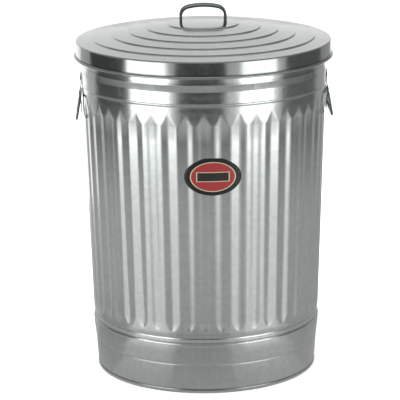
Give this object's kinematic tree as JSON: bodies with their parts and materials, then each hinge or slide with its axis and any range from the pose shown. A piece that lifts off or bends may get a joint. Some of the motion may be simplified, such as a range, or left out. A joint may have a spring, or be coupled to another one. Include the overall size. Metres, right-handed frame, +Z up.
{
  "type": "galvanised steel can with lift-off lid",
  "caption": "Tapered fluted galvanised steel can with a stepped lift-off lid, a strap handle on the lid and wire drop handles at its sides.",
  "frame": {"origin": "centre of the foot circle, on the floor", "axes": "+Z up, side handles at -X and +X, label towards -Y"},
  "size_m": [0.4558, 0.4558, 0.6508],
  "materials": {
    "galvanised_sheet": "hot-dip galvanised sheet, semi-bright",
    "galvanised_lid": "hot-dip galvanised sheet, satin",
    "galvanised_strap": "galvanised strip, satin",
    "zinc_wire": "zinc-plated round wire",
    "rivet_steel": "plated rivets",
    "label_film": "glossy printed film"
  },
  "bodies": {
    "can": {"body_wall": "galvanised_sheet", "rim_wire": "zinc_wire", "bottom_pan": "galvanised_sheet", "label": "label_film", "left_ear": "galvanised_strap", "left_ear_rivets": "rivet_steel", "right_ear": "galvanised_strap", "right_ear_rivets": "rivet_steel"},
    "lid": {"lid_shell": "galvanised_lid", "lid_rim_wire": "zinc_wire", "lid_handle": "galvanised_strap"},
    "left_handle": {"left_handle": "zinc_wire"},
    "right_handle": {"right_handle": "zinc_wire"}
  },
  "joints": [
    {"name": "lid_lift", "type": "slide", "parent": "can", "child": "lid", "axis": [0, 0, 1], "range_m": [0, 0.25]},
    {"name": "left_handle_swing", "type": "hinge", "parent": "can", "child": "left_handle", "pos_m": [-0.217, 0, 0.496], "axis": [0, 1, 0], "range_deg": [0, 150]},
    {"name": "right_handle_swing", "type": "hinge", "parent": "can", "child": "right_handle", "pos_m": [0.217, 0, 0.496], "axis": [0, -1, 0], "range_deg": [0, 150]}
  ]
}
